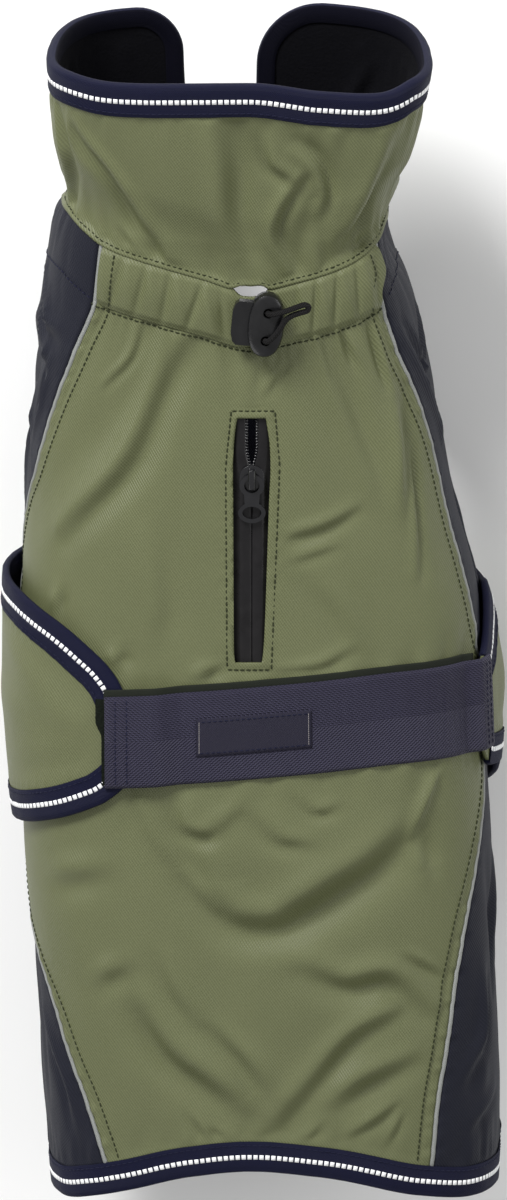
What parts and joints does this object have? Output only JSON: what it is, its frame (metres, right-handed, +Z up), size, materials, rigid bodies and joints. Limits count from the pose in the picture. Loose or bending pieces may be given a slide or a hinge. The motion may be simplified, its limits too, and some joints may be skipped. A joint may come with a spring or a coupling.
{
  "type": "dog jacket",
  "caption": "Dog's rain jacket in its worn form: hollow back with flanks, belly panel under an elastic belt, zipped back opening, gathered neck with cord lock, standing collar.",
  "frame": {"origin": "on the inner face of the back panel, halfway along the back, where the jacket rests on a dog's back", "axes": "+Y along the back towards the collar, +Z up out of the back, +X to the right flank seen from above with the collar at the top"},
  "size_m": [0.218, 0.5125, 0.1701],
  "materials": {
    "shell_green": "olive green twill rain cloth, matt",
    "shell_navy": "near-black navy softshell, matt",
    "lining": "black fleece",
    "binding": "navy woven tape with a reflective dash line",
    "reflective": "grey reflective piping",
    "belt": "navy herringbone elastic",
    "hook": "black hook tape",
    "label": "dark woven patch",
    "zip_tape": "coated black zip tape, semi-gloss",
    "zip_metal": "black enamelled metal, gloss",
    "plastic": "black moulded plastic, satin",
    "cord": "black braided elastic cord"
  },
  "bodies": {
    "root": {"back_panel": "shell_green", "neck_casing": "shell_green", "side_panel_left": "shell_navy", "side_panel_right": "shell_navy", "piping_left": "reflective", "piping_right": "reflective", "collar": "shell_green", "collar_lining": "lining", "collar_binding": "binding", "hem_binding": "binding", "belly_panel": "shell_green", "belly_binding_front": "binding", "belly_binding_rear": "binding", "belt": "belt", "hook_strip": "hook", "label": "label", "zip_tape_left": "zip_tape", "zip_tape_right": "zip_tape", "zip_slider": "zip_metal", "cord_lock": "plastic", "drawcord": "cord"},
    "tab": {"pull_tab": "zip_metal"},
    "plunger": {"lock_plunger": "plastic"}
  },
  "joints": [
    {"name": "tab_hinge", "type": "hinge", "parent": "root", "child": "tab", "pos_m": [0.00081, 0.11521, 0.00438], "axis": [-1, -0.0005, 0.0035], "range_deg": [0, 150]},
    {"name": "plunger_slide", "type": "slide", "parent": "root", "child": "plunger", "axis": [0.9954, -0.0952, -0.0109], "range_m": [0, 0.003], "stiffness_N_per_m": 150, "springref_m": -0.004}
  ]
}
